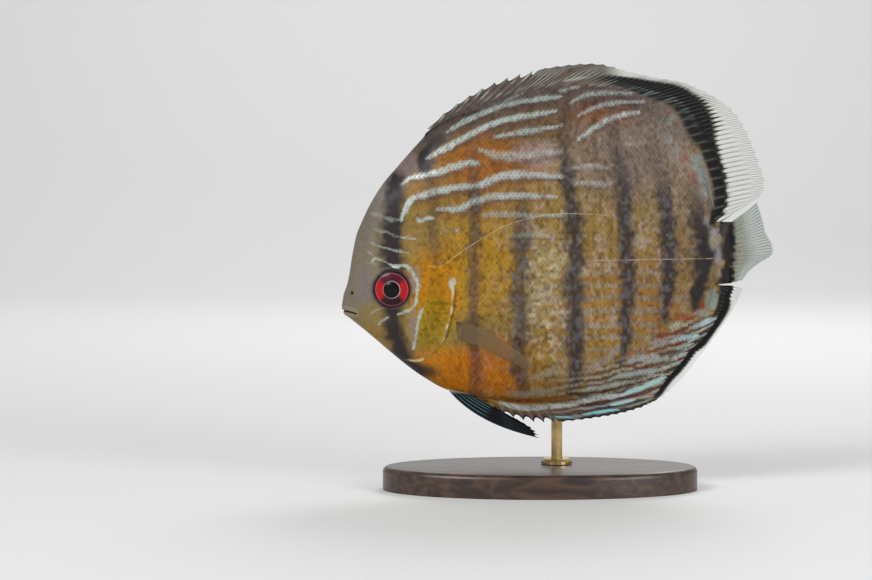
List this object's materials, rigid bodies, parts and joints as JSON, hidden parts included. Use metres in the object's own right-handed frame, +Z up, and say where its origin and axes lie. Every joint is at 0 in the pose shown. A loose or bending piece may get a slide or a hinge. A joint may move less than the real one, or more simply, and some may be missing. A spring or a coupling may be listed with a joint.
{
  "type": "discus fish model",
  "caption": "Life-size museum model of an adult discus fish, a tall disc-shaped freshwater cichlid with fins spread, held over an oval base by a short rod.",
  "frame": {"origin": "under the middle of the whole model, on the underside of the base", "axes": "+Z up, -X ahead of the fish's snout and +X towards its tail, -Y on the side of its left flank"},
  "size_m": [0.1504, 0.058, 0.1459],
  "materials": {
    "skin": "satin",
    "fin": "satin",
    "clear_fin": "satin",
    "dark_fin": "satin",
    "eye": "glossy",
    "stand_wood": "satin",
    "stand_metal": "brushed"
  },
  "bodies": {
    "root": {"head": "skin", "torso": "skin", "tail_stem": "skin", "gill_cover_left": "skin", "gill_cover_right": "skin", "dorsal_fin_spines": "fin", "dorsal_fin_soft": "fin", "dorsal_fin_lobe": "fin", "anal_fin_spines": "fin", "anal_fin_soft": "fin", "anal_fin_lobe": "fin", "caudal_fin": "clear_fin", "pectoral_fin_left": "clear_fin", "pectoral_fin_right": "clear_fin", "pelvic_fin_left": "dark_fin", "pelvic_fin_right": "dark_fin", "eye_left": "eye", "eye_right": "eye", "stand_base": "stand_wood", "stand_rod": "stand_metal", "stand_collar": "stand_metal"}
  },
  "joints": []
}
